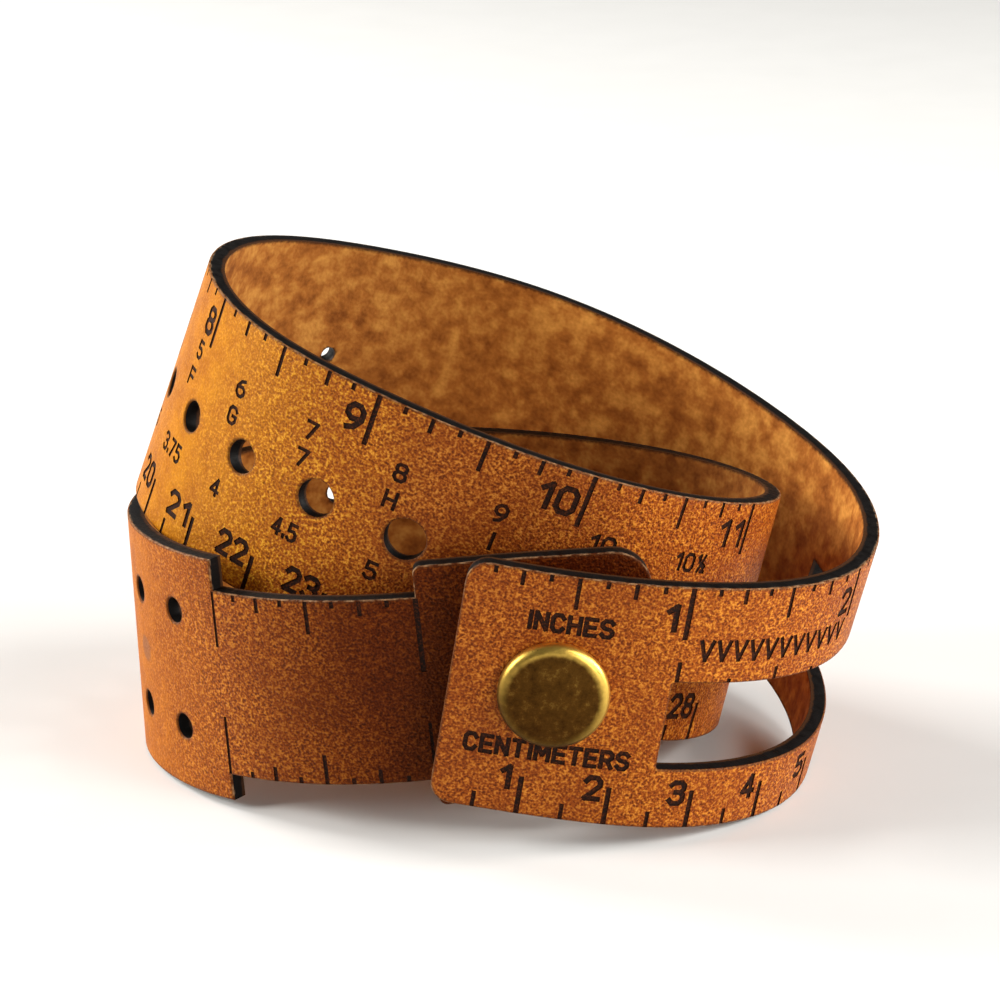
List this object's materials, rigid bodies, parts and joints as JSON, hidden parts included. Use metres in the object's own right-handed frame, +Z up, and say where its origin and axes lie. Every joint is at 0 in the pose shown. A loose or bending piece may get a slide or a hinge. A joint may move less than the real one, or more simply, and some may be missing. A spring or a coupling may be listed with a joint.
{
  "type": "leather wrist ruler",
  "caption": "Leather strap wound twice round the wrist, marked as a ruler, with a stitch window, needle gauge holes, row-counter holes, a wraps notch and a brass snap.",
  "frame": {"origin": "on the resting plane, under the middle of the object's box", "axes": "+Z up as the bracelet stands, -Y out of the snap's cap, +X along the front the way the ruler's numbers rise"},
  "size_m": [0.0907, 0.0784, 0.0599],
  "materials": {
    "leather": "tan grain, laser-burnt edges",
    "old_brass": "antique, brighter at the rim",
    "spring_steel": "drawn wire"
  },
  "bodies": {
    "coil": {"strap_bend": "leather", "strap_outer_turn": "leather", "strap_small_needles": "leather", "strap_needle_gauge": "leather", "strap_inner_turn": "leather", "strap_row_counter": "leather", "strap_wraps_gauge": "leather", "strap_tab": "leather", "stud_body": "old_brass", "stud_post": "old_brass"},
    "flap": {"strap_flap": "leather", "cap_shell": "old_brass", "cap_post": "old_brass", "socket_body": "old_brass", "socket_ring": "old_brass", "socket_spring": "spring_steel"}
  },
  "joints": [
    {"name": "flap_peel", "type": "hinge", "parent": "coil", "child": "flap", "pos_m": [0.03221, -0.03334, 0.01549], "axis": [0.1526, -0.0583, 0.9866], "range_deg": [0, 55], "stiffness_Nm_per_rad": 0.02, "deforming": ["strap_bend", "socket_spring"]}
  ]
}
